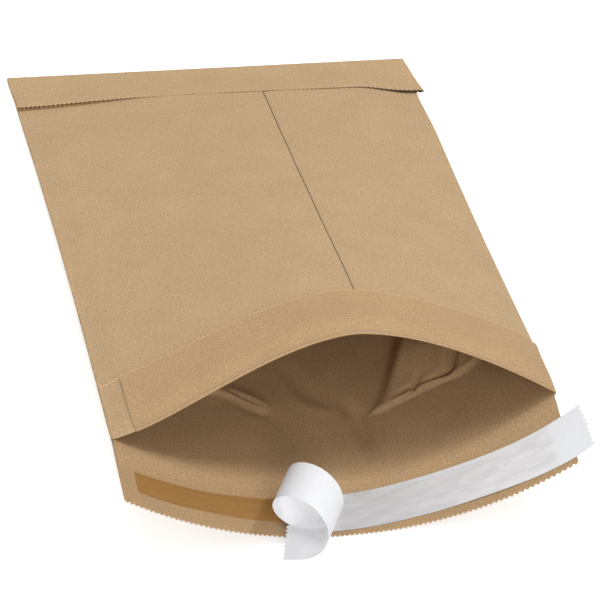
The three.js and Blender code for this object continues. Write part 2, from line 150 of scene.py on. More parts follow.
# Adhesive and liner
ADHESIVE_WIDTH = 14.0
ADHESIVE_FROM_FLAP_EDGE = 10.0
ADHESIVE_SIDE_MARGIN = 8.0
ADHESIVE_FILM = 0.12
ADHESIVE_WAVES = [(0.25, 17.0), (0.15, 6.1)]
LINER_WIDTH = 22.5
LINER_FILM = 0.14
LINER_FROM_FLAP_EDGE = 3.2
LINER_OVERHANG = 8.0
LINER_BOW = 2.4
LINER_BOW_LENGTH = 118.0
LINER_RIPPLE = 0.22
LIFT_OFF_LEFT_OF_CENTRE = 12.0
LIFT_START = 0.3
LIFT_LENGTH = 9.5
LIFT_ANGLE = math.radians(23.5)
CURL_RADIUS = 18.5
CURL_TIGHTENING_PER_RADIAN = 0.93
CURL_TURN = math.radians(325)
CURL_SKEW = math.radians(30.7)
CURL_HELIX = math.radians(13.8)
CURL_START = LINER_WIDTH * math.tan(CURL_HELIX) - LIFT_OFF_LEFT_OF_CENTRE
TAIL_LENGTH = 11.3
LIFT_CELLS = 12
CURL_CELLS = 90

# Colours: the liner where the adhesive greys it, and the glue of the laps
STUCK_LINER = (0.895, 0.893, 0.9)
DRIED_GLUE = (0.85, 0.77, 0.6)
WHITE = (1.0, 1.0, 1.0)

# Light: each lamp's name, place, aim, size and power
WORLD_LIGHT = 0.54
FLOOR_GLOW = 0.55
FLOOR_REACH = 6.0
FLOOR_LEVEL = -0.0004
LAMPS = [
    ("key", (-0.5, 0.0, 2.1), (0.0, 0.0, 0.0), 0.6, 9.0),
    ("side key", (1.05, 0.12, 1.9), (0.0, -0.05, 0.0), 0.3, 11.4),
    ("fill", (0.0, -2.1, 1.45), (0.0, -0.1, 0.02), 1.0, 12.6),
]

# The camera: azimuth, elevation and roll in degrees, and what it looks at from the far fold
CAMERA_ANGLES = (-17.916, 42.781, 8.002)
CAMERA_DISTANCE = 1.104456
CAMERA_TARGET = (0.011697, -0.203236)

# Where the flat envelope's far fold lies in the model's frame
SHIFT_Y = float(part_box("bottom_glue")[1][1]) * 1000 + GLUE_MARGIN


def smooth(share):
    share = np.clip(share, 0.0, 1.0)
    return share * share * (3 - 2 * share)


def eased(value, start, reach):
    """0 up to the start and 1 past the reach, softly between; a reach below 0 runs the other way"""
    return smooth((value - start) / reach)


def across_from_left(distance):
    return distance / HALF_WIDTH - 1


SEAM = across_from_left(SEAM_FROM_LEFT)
WEB_START = across_from_left(WEB_START_FROM_LEFT)
WEB_END = across_from_left(WEB_END_FROM_LEFT)
LIFT_RAMP = WEB_START - WEB_END


# Sizes and colours that a user would change


def number(name, description, default, **options):
    return bpy.props.FloatProperty(name=name, description=description, default=default, **options)


def colour_of(thing, default):
    return bpy.props.FloatVectorProperty(
        name=thing.title(), description="Colour of the " + thing, default=default, subtype="COLOR_GAMMA"
    )


class PaperSizes(bpy.types.PropertyGroup):
    tooth_pitch: number("Tooth Pitch", "Distance between two knife teeth, in millimetres", 2.65)
    tooth_depth: number("Tooth Depth", "Depth of the knife teeth, in millimetres", 1.2)
    wrinkle_height: number("Wrinkle Height", "Height of the inner ply's folds", 1.0, subtype="FACTOR")
    lump_height: number("Lump Height", "How far the padding shows, in millimetres", 0.45)
    fibre_spacing: number("Fibre Spacing", "Distance between loose fibres", 0.0007, unit="LENGTH")
    fibre_length: number("Fibre Length", "Length of a loose fibre", 0.0007, unit="LENGTH")


class PaperColours(bpy.types.PropertyGroup):
    kraft: colour_of("outer kraft", (0.755, 0.638, 0.486))
    inner_kraft: colour_of("inner kraft", (0.704, 0.582, 0.434))
    padding: colour_of("padding", (0.6, 0.58, 0.54))
    adhesive: colour_of("adhesive", (0.635, 0.472, 0.262))
    liner: colour_of("liner", (0.935, 0.94, 0.955))


class StageSettings(bpy.types.PropertyGroup):
    lens: number("Lens", "The camera's focal length in millimetres", 123.103)
    floor: colour_of("floor", (0.95, 0.95, 0.95))


# The shape of the open envelope


def openness(along):
    return np.clip((along - BOTTOM_LAP) / (PANEL_LENGTH - BOTTOM_LAP), 0.0, 1.0)


def arch(across):
    right = across > ARCH_PEAK
    reach = np.where(right, 1 - ARCH_PEAK, 1 + ARCH_PEAK)
    share = np.clip(np.abs(across - ARCH_PEAK) / reach, 0, 1)
    inner = np.where(right, RIGHT_ARCH_POWERS[0], LEFT_ARCH_POWERS[0])
    outer = np.where(right, RIGHT_ARCH_POWERS[1], LEFT_ARCH_POWERS[1])
    return (1 - share**inner) ** outer


def belly(across):
    reach = np.where(across > BELLY_LOW, 1 - BELLY_LOW, 1 + BELLY_LOW)
    return (np.abs(across - BELLY_LOW) / reach) ** BELLY_POWER


def lower_rise(across, opened):
    return (SIDE_RISE + SIDE_TILT * across) * opened * belly(across)


def upper_rise(across, opened):
    return opened * (SIDE_RISE + SIDE_TILT * across + MOUTH_ARCH * arch(across))


def mouth_half_chord():
    """Half the distance between the side folds at the mouth, where the arch is as long as it is flat"""
    places = np.linspace(-1, 1, 121)
    rises = np.diff(upper_rise(places, 1.0))
    half = HALF_WIDTH
    for _ in range(12):
        length = np.hypot(np.diff(places) * half, rises).sum()
        half *= 1 - (length - PANEL_WIDTH) / PANEL_WIDTH
    return half


MOUTH_HALF_CHORD = mouth_half_chord() - MOUTH_SLACK


def half_chord_at(along):
    """The side folds run nearly straight from the bottom lap to the mouth"""
    opened = openness(along)
    return HALF_WIDTH + (MOUTH_HALF_CHORD - HALF_WIDTH) * opened - SIDE_PINCH * np.sin(np.pi * opened)


def padding_room(across, along, upper):
    start = eased(along, PADDING_START, PADDING_START_TAPER) * corner_share(across, along)
    lower_end = eased(along, PANEL_LENGTH + PADDING_PAST_MOUTH, -FLAP_TAPER)
    upper_end = eased(along, PANEL_LENGTH, -PADDING_TAPER)
    return FULL_PADDING * start * (lower_end + (upper_end - lower_end) * upper)


def corner_share(across, along):
    """Towards the closed end's corners the padding is pressed flat"""
    x = across * HALF_WIDTH
    pressed = np.maximum(1 - eased(x, *PRESSED_LEFT), 1 - eased(x, *PRESSED_RIGHT))
    return 1 - PRESSED_SHARE * pressed * (1 - eased(along, *PRESSED_ALONG))


def side_share(across):
    """The padding thins out towards the side folds"""
    return SIDE_SHARE + (1 - SIDE_SHARE) * smooth((1 - np.abs(across)) * HALF_WIDTH / SIDE_TAPER)


def overlap_lift(across):
    rising = np.clip((across + 1) / (WEB_END + 1), 0, 1)
    falling = np.clip((SEAM + LIFT_RAMP - across) / LIFT_RAMP, 0, 1)
    return OVERLAP_LIFT * np.minimum(rising, falling)


def slanted(columns, along):
    """The lap seam runs a little askew: its columns draw in to the left towards the mouth"""
    drawn = SEAM_SLANT * openness(along) * columns.tail
    return (columns.across + 1) * (1 - drawn) - 1


def on_panel(columns, along, distance):
    """Places at a distance from the middle of the hollow, square to the panels' sections"""
    across, upper = slanted(columns, along), columns.upper
    opened = openness(along)
    half = half_chord_at(along)
    step = 1e-3
    low = np.maximum(-1, across - step)
    high = np.minimum(1, across + step)
    run = (high - low) * half
    lower_slope = (lower_rise(high, opened) - lower_rise(low, opened)) / run
    upper_slope = (upper_rise(high, opened) - upper_rise(low, opened)) / run
    below = np.arctan2(-1.0, lower_slope) + np.where(across > 0, 0, 2 * np.pi)
    above = np.arctan2(1.0, -upper_slope)
    angle = below + (above - below) * upper
    rise = np.where(upper == 0, lower_rise(across, opened), upper_rise(across, opened))
    past_lap = np.maximum(along - BOTTOM_LAP, 0)
    at_mouth = np.minimum(past_lap, PANEL_LENGTH - BOTTOM_LAP)
    level = np.sqrt(np.maximum(at_mouth**2 - rise**2, 0))
    x = half * across + FAR_SHIFT + (MOUTH_SHIFT - FAR_SHIFT) * opened + np.cos(angle) * distance
    onward = np.clip((along - PANEL_LENGTH) / FLAP_LENGTH, 0, 1)
    right, left = np.clip(across, 0, 1), np.clip(-across, 0, 1)
    notch = FLAP_NOTCH * right**8 * smooth(onward / 0.05) * (1 - smooth(onward / 0.6))
    x = x + (FLAP_FLARE * right**3 * onward - notch) * (1 - upper)
    x = x - FAR_CORNER * left**6 * (1 - smooth(along / BOTTOM_LAP))
    bulge = FAR_REACH * (1 - smooth(along / FAR_REACH_FADE))
    y = bulge - (np.minimum(along, BOTTOM_LAP) + level + (past_lap - at_mouth))
    rise = rise - flap_droop(across, along)
    z = OUTER_FACE + padding_room(across, along, 0) + rise + np.sin(angle) * distance
    return np.stack([x, y, z], axis=-1)


def flap_droop(across, along):
    """The flap's corners hang down towards its edge"""
    most = np.where(across > 0, RIGHT_DROOP, LEFT_DROOP)
    onward = np.maximum(along - PANEL_LENGTH, 0) / FLAP_LENGTH
    return most * belly(across) * onward**1.3


# Folds of the lower inner ply: points (x, distance from the far fold), some with a depth and half width
RIGHT_PLEAT_HEIGHTS = (3.0, 4.6)
LEFT_PLEAT_HEIGHT = 2.3
RIGHT_RIDGE = [
    (20, 297), (28, 295.8), (36, 294.4), (43, 292.4), (50, 290.6),
    (58, 288.2), (66, 287.4), (75, 287.2), (82, 285), (90, 280),
]
RIGHT_FOOT = [(27.4, 295.4), (33.4, 287.6), (39.7, 277.1), (45.6, 264), (51.6, 250.8), (56, 238)]
LEFT_RIDGE = [(-64, 277), (-55.5, 277.4), (-46.7, 277.6), (-39.9, 280), (-32.5, 283), (-25.5, 287.5)]
CREASES = [
    ([(69, 286), (74, 279), (80, 268), (84, 258)], 3.6, 4.5),
    ([(51, 290), (55, 284), (58, 279)], 2.2, 2.4),
    ([(57, 285), (66, 283.6), (76, 281)], 1.5, 2.2),
    ([(42, 289), (50, 286), (56, 285)], 1.0, 2.0),
    ([(16.5, 283), (21.5, 294), (21.5, 304), (23, 320)], 2.3, 8.0),
    ([(-8, 256), (-1, 275), (5, 290)], 1.5, 9.0),
    ([(-42, 275), (-32, 281), (-25, 286)], 2.0, 2.6),
    ([(-72, 279), (-60, 281)], 1.0, 4.0),
    ([(-38, 284), (-31, 288), (-24, 291)], 1.0, 3.0),
]
SOFT_FOLDS = [
    ([(-6, 280), (2, 286), (9, 292)], 1.0, 7.0),
    ([(-98, 255), (-80, 262), (-64, 268)], 1.4, 10.0),
]

# Where the rows of the lower panel bend to, from a straight row near the ridges
BENT_FROM = 290
BENT_REACH = 38
BENT_ROWS = [
    (-121, 274), (-64, 277), (-47, 277.6), (-36, 281.5), (-25, 287), (-5, 292), (24, 296.4),
    *RIGHT_RIDGE[2:], (121, 272),
]


def along_line(x, points):
    places = np.array(points, dtype=float)
    return np.interp(x, places[:, 0], places[:, 1])


def line_relief(x, along, points, height, reach):
    """A smooth ridge of a half width along a line, which runs out at both ends"""
    points = np.array(points, dtype=float)
    lengths = np.hypot(*np.diff(points, axis=0).T)
    starts = np.concatenate([[0], np.cumsum(lengths)])
    closest = np.full(np.shape(x), 1e9)
    taper = np.zeros(np.shape(x))
    for index, (start, end) in enumerate(zip(points[:-1], points[1:])):
        direction = (end - start) / lengths[index]
        dx, dy = x - start[0], along - start[1]
        onward = np.clip(dx * direction[0] + dy * direction[1], 0, lengths[index])
        away = np.hypot(dx - direction[0] * onward, dy - direction[1] * onward)
        nearer = away < closest
        closest = np.where(nearer, away, closest)
        share = (starts[index] + onward) / starts[-1]
        taper = np.where(nearer, np.sin(np.pi * np.clip(share * 0.9 + 0.05, 0, 1)) ** 0.7, taper)
    return height * taper * (1 - smooth(closest / reach))


def inner_relief(x, along):
    """How far the inner ply of the lower panel stands up off the padding: a pleat at each side"""
    behind = along_line(x, RIGHT_RIDGE) - along
    foot = along_line(-along, [(-far, place) for place, far in RIGHT_FOOT])
    ridge, slope = RIGHT_PLEAT_HEIGHTS
    right = ridge * eased(behind, -0.6, 2.2) + slope * eased(behind, 2, 25)
    right = right * eased(x, foot - 2, 9) * eased(along, 222, 34) * eased(x, 103, -22)
    behind = along_line(x, LEFT_RIDGE) - along
    left = LEFT_PLEAT_HEIGHT * eased(behind, -1.2, 3.0) * (1 - eased(behind, 1.5, 13))
    left = left * eased(x, -76, 16) * eased(x, -20, -9)
    relief = right + left
    for crease in CREASES:
        relief = relief - line_relief(x, along, *crease)
    for fold in SOFT_FOLDS:
        relief = relief + line_relief(x, along, *fold)
    return relief


def bent(columns, along):
    """Rows of the lower panel bend so that they follow the ridges"""
    window = smooth(1 - np.abs(along - BENT_FROM) / BENT_REACH)
    shift = along_line(columns.across * HALF_WIDTH, BENT_ROWS) - BENT_FROM
    return along + shift * window * (1 - columns.upper)


def lumps(x, along, size, seed):
    """Soft lumps between 0 and 1"""
    total = np.zeros(np.broadcast(x, along).shape)
    for turn in range(6):
        angle = 2.4 * turn + seed
        wave = (x * math.cos(angle) + along * math.sin(angle)) * (0.8 + 0.17 * turn) / size
        total = total + np.sin(2 * np.pi * (wave + 0.37 * turn * seed))
    return np.clip(0.5 + total / 6, 0, 1)


# Sheets


class Columns:
    """Places round the section: across runs from -1 to 1, upper is 0 below and 1 above"""

    def __init__(self, across, upper, tail, flat):
        self.across = np.array(across)
        self.upper = np.array(upper)
        self.tail = np.array(tail)
        self.flat = np.array(flat)
        self.count = len(self.across)


def stations(pitch):
    """Places across a panel, two to a knife tooth, with one at each mark"""
    marks = [-1, WEB_END, WEB_START, SEAM, 1]
    places = [-1.0]
    for start, end in zip(marks[:-1], marks[1:]):
        teeth = max(1, round((end - start) * HALF_WIDTH / pitch))
        places.extend(np.linspace(start, end, 2 * teeth + 1)[1:])
    return np.array(places)


class Web:
    """The columns of the whole web, and which of them make up each panel"""

    FOLD_STEPS = 8

    def __init__(self, pitch, end):
        places = stations(pitch)
        upper = places[places >= WEB_START - 1e-6]
        tail = places[places <= end + 1e-6]
        fold = np.linspace(0, 1, self.FOLD_STEPS + 1)[1:-1]
        steps = len(fold)
        across = np.concatenate([upper, np.ones(steps), places[::-1], -np.ones(steps), tail])
        level = [np.ones(len(upper)), fold[::-1], np.zeros(len(places)), fold, np.ones(len(tail))]
        is_tail = np.zeros(len(across), dtype=bool)
        is_tail[-len(tail):] = True
        flat = np.concatenate([
            (upper - 1) * HALF_WIDTH,
            np.zeros(steps),
            (1 - places[::-1]) * HALF_WIDTH,
            np.full(steps, PANEL_WIDTH),
            PANEL_WIDTH + (tail + 1) * HALF_WIDTH,
        ])
        self.columns = Columns(across, np.concatenate(level), is_tail, flat)
        self.all = np.arange(len(across))
        self.upper = np.arange(len(upper))
        self.lower = len(upper) + steps + np.arange(len(places))
        self.tail = np.arange(len(across) - len(tail), len(across))


class Sheet:
    """A closed body between two faces over one grid of rows and columns"""

    def __init__(self, columns):
        self.columns = columns
        self.rows = []
        self.flats = []
        self.tones_and_painted_light = []
        self.quads = []
        self.ends = []

    def row(self, places, flat_along, cut=0.0):
        """Adds the places of both faces, shaped (2, columns, 3), and gives the row's number"""
        self.rows.append(np.stack(places))
        flat_along = np.broadcast_to(flat_along, self.columns.count)
        self.flats.append(np.stack([self.columns.flat, flat_along], axis=-1))
        self.tones_and_painted_light.append(np.broadcast_to(cut, self.columns.count))
        return len(self.rows) - 1

    def patch(self, rows, members):
        rows = np.asarray(rows)[:, None] * self.columns.count
        grid = rows + np.asarray(members)[None, :]
        corners = [grid[:-1, :-1], grid[:-1, 1:], grid[1:, 1:], grid[1:, :-1]]
        self.quads.append(np.stack([corner.ravel() for corner in corners], axis=-1))

    def end(self, last, before, members):
        """Keeps the line of a cut end and the way out of it, for its loose fibres"""
        line = self.rows[last].mean(axis=0)[members]
        way = line - self.rows[before].mean(axis=0)[members]
        self.ends.append((line, way / np.linalg.norm(way, axis=1, keepdims=True)))

    def mesh(self, name):
        quads = np.concatenate(self.quads)
        places = np.stack(self.rows).transpose(0, 2, 1, 3).reshape(-1, 2, 3)
        flats = np.concatenate(self.flats)
        tones_and_painted_light = np.concatenate(self.tones_and_painted_light)
        used, quads = np.unique(quads, return_inverse=True)
        quads = quads.reshape(-1, 4)
        places, flats, tones_and_painted_light = places[used], flats[used], tones_and_painted_light[used]
        count = len(used)
        pairs = np.stack([quads, np.roll(quads, -1, axis=1)], axis=-1).reshape(-1, 2)
        keys = pairs[:, 0] * count + pairs[:, 1]
        turned = pairs[:, 1] * count + pairs[:, 0]
        border = pairs[~np.isin(keys, turned)]
        walls = np.stack([border[:, 1], border[:, 0], border[:, 0] + count, border[:, 1] + count], axis=-1)
        faces = np.concatenate([quads, quads[:, ::-1] + count, walls])
        points = np.concatenate([places[:, 0], places[:, 1]])
        if signed_volume(points, faces) < 0:
            faces = faces[:, ::-1]
        flat = np.concatenate([
            np.column_stack([flats, np.zeros(count)]),
            np.column_stack([flats, np.full(count, 50.0)]),
        ])
        return paper_mesh(name, points, faces, flat, np.concatenate([tones_and_painted_light, tones_and_painted_light]))


def signed_volume(points, faces):
    a, b, c, d = (points[faces[:, corner]] for corner in range(4))
    return float((np.cross(b, c) * a).sum() + (np.cross(c, d) * a).sum())


def linked(name, data):
    """A new object in the scene, for a mesh, a lamp or a camera"""
    made = bpy.data.objects.new(name, data)
    bpy.context.scene.collection.objects.link(made)
    return made


def store(mesh, name, values):
    """Keeps a number or a vector for each point of a mesh, under a name that nodes can read"""
    values = np.asarray(values, dtype=float)
    kind, key = ("FLOAT", "value") if values.ndim == 1 else ("FLOAT_VECTOR", "vector")
    mesh.attributes.new(name, kind, "POINT").data.foreach_set(key, values.ravel())


def paper_mesh(name, points, faces, flat, cut):
    """A mesh in the model's frame, with its place on the flat sheet and a tone for each point: paler at
    cuts, with painted highlights and painted shade along folds, laps and the seam
    """
    points = (np.asarray(points) + (0, SHIFT_Y, 0)) * 0.001
    mesh = bpy.data.meshes.new(name)
    mesh.from_pydata(points.tolist(), [], faces.tolist())
    store(mesh, "flat_place", flat * 0.001)
    store(mesh, "cut_edge_and_painted_light", cut)
    mesh.shade_smooth()
    mesh.set_sharp_from_angle(angle=math.radians(50))
    mesh.validate()
    return linked(name, mesh)


class Ply:
    """One layer of the web: base distances of its faces, and what pushes them out or in"""

    def __init__(self, face, back, outside, sizes, lifted=False, covering=True):
        self.bases = (face, back)
        self.outside = outside
        self.sizes = sizes
        self.lifted = lifted
        self.covering = covering

    def base(self, columns, side):
        lift = overlap_lift(columns.across) * columns.tail if self.lifted else 0.0
        return self.bases[side] + lift

    def distance(self, columns, side, along):
        distance = self.base(columns, side)
        across = slanted(columns, along)
        x = across * HALF_WIDTH
        below = 1 - columns.upper
        if self.outside[side]:
            room = padding_room(across, along, columns.upper) * side_share(across)
            swell = lumps(x, along, 62.0, 3.0) * eased(along, PANEL_LENGTH - LIP_DEPTH - 4, -25)
            distance = distance + room + swell * self.sizes.lump_height * room / FULL_PADDING
            if self.lifted:
                distance = distance + seam_curl(columns, along)
            return distance
        held = eased(along, BOTTOM_LAP + 20, 60) * eased(along, PANEL_LENGTH + PADDING_PAST_MOUTH - 4, -14)
        push = (lumps(x, along, 46.0, 11.0) + 0.45 * lumps(x, along, 19.0, 5.0)) * self.sizes.lump_height
        relief = inner_relief(half_chord_at(along) * columns.across, along) * self.sizes.wrinkle_height
        if not self.covering:
            relief = 0.6 * np.maximum(relief, 0) + np.minimum(relief, 0) - 0.5 * side_share(columns.across)
        return distance - (push + relief) * held * below


def seam_curl(columns, along):
    """The free edge of the lap seam stands up a little"""
    away = (SEAM - columns.across) * HALF_WIDTH
    held = eased(along, BOTTOM_LAP + 2, 14) * eased(along, PANEL_LENGTH - LIP_DEPTH, -8)
    return np.where(columns.tail, SEAM_CURL * np.exp(-np.maximum(away, 0) / 1.6) * held, 0.0)


def panel_places(ply, columns, along):
    """A row of a panel; along may differ from column to column"""
    return [on_panel(columns, along, ply.distance(columns, side, along)) for side in (0, 1)]


BOTTOM_TURN_CENTRE = 2 * OUTER_FACE + OVERLAP_LIFT + FOLD_SPACE / 2


def lap_depth(columns):
    """The bottom lap was folded a little askew, so it is deeper at the right"""
    return LAP_LEFT + (LAP_RIGHT - LAP_LEFT) * (columns.across + 1) / 2


def bottom_lift(columns, back, top):
    """How far the bottom lap's free edge stands up, most at its ends"""
    x = columns.across * HALF_WIDTH
    left = eased(x, -30, -62)
    right = eased(x, 98, 22)
    free = eased(back / lap_depth(columns), 0.5, 0.5)
    left_lift, right_lift = TOP_END_LIFTS if top else OTHER_END_LIFTS
    return (LAP_LIFT + left * left_lift + right * right_lift) * free


def bottom_places(ply, columns, turn, back):
    """A row of the bottom lap, which turns up about the far fold and lies back over the upper panel"""
    back = np.broadcast_to(back, columns.count)
    right, left = np.clip(columns.across, 0, 1), np.clip(-columns.across, 0, 1)
    lift = bottom_lift(columns, back, False)
    if ply.lifted:
        lift = np.where(columns.upper == 0, bottom_lift(columns, back, True), lift)
    raised = padding_room(columns.across, back, 0) * (1 + side_share(columns.across))
    places = []
    for side in (0, 1):
        flat = on_panel(columns, 0, ply.base(columns, side))
        reach = BOTTOM_TURN_CENTRE - flat[:, 2]
        x = flat[:, 0] + LAP_SPREAD * right**5 * back / BOTTOM_LAP
        x = x + FAR_CORNER * left**6 * smooth(back / BOTTOM_LAP)
        z = BOTTOM_TURN_CENTRE - math.cos(turn) * reach + lift + raised
        places.append(np.stack([x, FAR_REACH + math.sin(turn) * reach - back, z], axis=-1))
    return places


def lip_places(ply, columns, turn, back):
    """A row of the lip, which turns up and back about the mouth"""
    along = PANEL_LENGTH - back
    top = OUTER_FACE + overlap_lift(columns.across)
    centre = top + padding_room(columns.across, along, 1) * side_share(columns.across) + FOLD_SPACE / 2
    edge = np.maximum(columns.across - WEB_START, 0) * HALF_WIDTH
    step = np.where(columns.tail, 0.0, LIP_STEP * np.exp(-edge / 3.0)) * np.minimum(back / 6, 1)
    step = step + LIP_EDGE_LIFT * eased(back / LIP_DEPTH, 0.7, 0.3)
    places = []
    for side in (0, 1):
        reach = top - ply.base(columns, side) + FOLD_SPACE / 2
        row = on_panel(columns, along, centre + step - math.cos(turn) * reach)
        row[:, 1] -= math.sin(turn) * reach
        row[:, 0] += columns.across * LIP_SPREAD * back / LIP_DEPTH
        places.append(row)
    return places


def zigzag(columns, depth):
    """How far the knife teeth reach out: nothing at every other column, their depth between"""
    return depth * (np.arange(columns.count) % 2)


def ply_sheet(web, ply, rows_along, sizes):
    """One ply: the tube, the bottom lap, the flap and the lip"""
    columns = web.columns
    sheet = Sheet(columns)
    teeth = zigzag(columns, sizes.tooth_depth)

    def bottom_row(turn, back, shade=0.0):
        return sheet.row(bottom_places(ply, columns, turn, back), -back, shade)

    def panel_row(along, shade=0.0):
        return sheet.row(panel_places(ply, columns, along), along, shade)

    def lip_row(turn, back, shade):
        return sheet.row(lip_places(ply, columns, turn, back), PANEL_LENGTH + back, shade)

    end = lap_depth(columns) - sizes.tooth_depth
    backs = [end - BEHIND_TEETH, end - 3, *(end * share for share in np.linspace(0.8, 0.1, 7))]
    # Painted shade along the bottom lap's cut edge, turning to a paler cut edge towards the far left
    lap_painted_shade = LAP_EDGE_PAINTED_SHADE + (0.9 - LAP_EDGE_PAINTED_SHADE) * eased(columns.across * HALF_WIDTH, -20, -12)
    bottom = [bottom_row(math.pi, end + teeth, lap_painted_shade)]
    bottom += [bottom_row(math.pi, back) for back in backs]
    bottom += [bottom_row(turn, 0) for turn in np.linspace(math.pi, 0, 8)[:-1]]
    # Painted shadow along the lap seam's edge columns, in the tube and the lip
    edges = np.zeros(columns.count)
    if ply.lifted:
        edges[[0, -1]] = SEAM_PAINTED_SHADOW
    tube = [panel_row(along if ply.lifted else bent(columns, along), edges) for along in rows_along]
    sheet.patch(bottom + tube, web.all)
    end = PANEL_LENGTH + FLAP_LENGTH - sizes.tooth_depth
    alongs = [PANEL_LENGTH + 0.7, *np.arange(PANEL_LENGTH + 2.2, end - 3, 2.2), end - 2, end - BEHIND_TEETH]
    flap = [tube[-1]] + [panel_row(along) for along in alongs]
    flap.append(panel_row(end + teeth, 1.0))
    sheet.patch(flap, web.lower)
    end = LIP_DEPTH - sizes.tooth_depth
    backs = [*np.arange(2, 15, 2), *np.arange(16, end - 3, 4), end - 2, end - BEHIND_TEETH]
    lip = [tube[-1]]
    # The mouth's fold: paler, with a painted highlight where it turns
    lip += [lip_row(turn, 0, FOLD_PAINTED_HIGHLIGHT * math.sin(turn)) for turn in np.linspace(0, math.pi, 9)[1:]]
    lip += [lip_row(math.pi, back, edges if ply.lifted else LIP_SHADE) for back in backs]
    # The lip's cut edge: paler, with a painted highlight
    lip.append(lip_row(math.pi, end + teeth, LIP_EDGE_PALE_AND_HIGHLIGHT))
    sheet.patch(lip, web.upper)
    sheet.end(bottom[0], bottom[1], web.all)
    sheet.end(flap[-1], flap[-2], web.lower)
    sheet.end(lip[-1], lip[-2], web.upper)
    if ply.lifted:
        sheet.patch(lip, web.tail)
        sheet.end(lip[-1], lip[-2], web.tail)
    return sheet


def film_sheet(rows_along, across, along_seam):
    """A film on the upper panel's outer face, under the lap seam or over it"""
    count = len(across)
    columns = Columns(across, np.ones(count), np.full(count, along_seam), across * HALF_WIDTH)
    sheet = Sheet(columns)
    base = OUTER_FACE + LAYER_GAP + (0 if along_seam else overlap_lift(across))
    numbers = []
    for along in rows_along:
        room = padding_room(across, along, 1) * side_share(across)
        faces = [on_panel(columns, along, base + room + height) for height in (0, GLUE_FILM)]
        numbers.append(sheet.row(faces, along))
    sheet.patch(numbers, np.arange(count))
    return sheet


# Materials


def linear(colour):
    """An sRGB colour as the shader's linear one"""
    return tuple(part / 12.92 if part <= 0.04045 else ((part + 0.055) / 1.055) ** 2.4 for part in colour)


class Nodes:
    """Short ways to add nodes to a tree and to join them"""

    def __init__(self, tree):
        self.tree = tree

    def add(self, kind, inputs=None, **settings):
        made = self.tree.nodes.new(kind)
        for name, value in settings.items():
            setattr(made, name, value)
        for name, value in (inputs or {}).items():
            self.set(made, name, value)
        return made

    def set(self, made, name, value):
        socket = made.inputs[name]
        if isinstance(value, bpy.types.NodeSocket):
            self.tree.links.new(value, socket)
        else:
            socket.default_value = value

    def scaled(self, value, factor, start=0.0):
        """The value times a factor, on top of a start"""
        inputs = {0: value, 1: factor, 2: start}
        return self.add("ShaderNodeMath", inputs, operation="MULTIPLY_ADD").outputs[0]

    def blended(self, first, share, second):
        """A share of the first number and the rest from the second"""
        return self.scaled(first, share, self.scaled(second, 1 - share))

    def mix(self, share, first, second, blend="MIX"):
        made = self.add("ShaderNodeMix", {0: share}, data_type="RGBA", blend_type=blend)
        self.set(made, 6, first)
        self.set(made, 7, second)
        return made.outputs[2]

    def toned(self, share, colour, low, high):
        """A colour between two strengths of itself"""
        return self.mix(share, shade(colour, low), shade(colour, high))

    def ramp(self, value, low, high):
        inputs = {0: value, 1: low, 2: high}
        made = self.add("ShaderNodeMapRange", inputs, clamp=True, interpolation_type="SMOOTHSTEP")
        return made.outputs[0]

    def noise(self, vector, scale, detail=2.0, roughness=0.5):
        inputs = {"Vector": vector, "Scale": scale, "Detail": detail, "Roughness": roughness}
        return self.add("ShaderNodeTexNoise", inputs).outputs[0]

    def stretched(self, vector, scale):
        return self.add("ShaderNodeMapping", {"Vector": vector, "Scale": scale}).outputs[0]

    def stored(self, name, kind="Fac"):
        return self.add("ShaderNodeAttribute", attribute_name=name).outputs[kind]

    def object_place(self):
        return self.add("ShaderNodeTexCoord").outputs["Object"]


class Material(Nodes):
    """A new material's nodes, which end in its Principled shader"""

    def __init__(self, name):
        self.made = bpy.data.materials.new(name)
        self.made.use_nodes = True
        super().__init__(self.made.node_tree)
        self.shader = self.tree.nodes["Principled BSDF"]

    def finish(self, colour, roughness, bump=None, **more):
        self.set(self.shader, "Base Color", colour)
        self.set(self.shader, "Roughness", roughness)
        for name, value in more.items():
            self.set(self.shader, name.replace("_", " "), value)
        if bump:
            strength, distance, height = bump
            inputs = {"Strength": strength, "Distance": distance, "Height": height}
            self.set(self.shader, "Normal", self.add("ShaderNodeBump", inputs).outputs[0])
        return self.made

    def grain(self, place, grain_scale, cloud_scale, fleck_share):
        made = self.add("ShaderNodeGroup", node_tree=paper_grain_group())
        self.set(made, "Place", place)
        self.set(made, "Grain Scale", grain_scale)
        self.set(made, "Cloud Scale", cloud_scale)
        self.set(made, "Fleck Share", fleck_share)
        return made.outputs


def shade(colour, factor):
    return (*linear([min(1.0, part * factor) for part in colour]), 1.0)


def group_tree(name, kind, sockets):
    """A node tree with its outside sockets, each as (label, INPUT or OUTPUT, kind, default)"""
    tree = bpy.data.node_groups.new(name, kind)
    for label, way, value_kind, default in sockets:
        socket = tree.interface.new_socket(name=label, in_out=way, socket_type="NodeSocket" + value_kind)
        if default is not None:
            socket.default_value = default
    nodes = Nodes(tree)
    return nodes, nodes.add("NodeGroupInput").outputs, nodes.add("NodeGroupOutput")


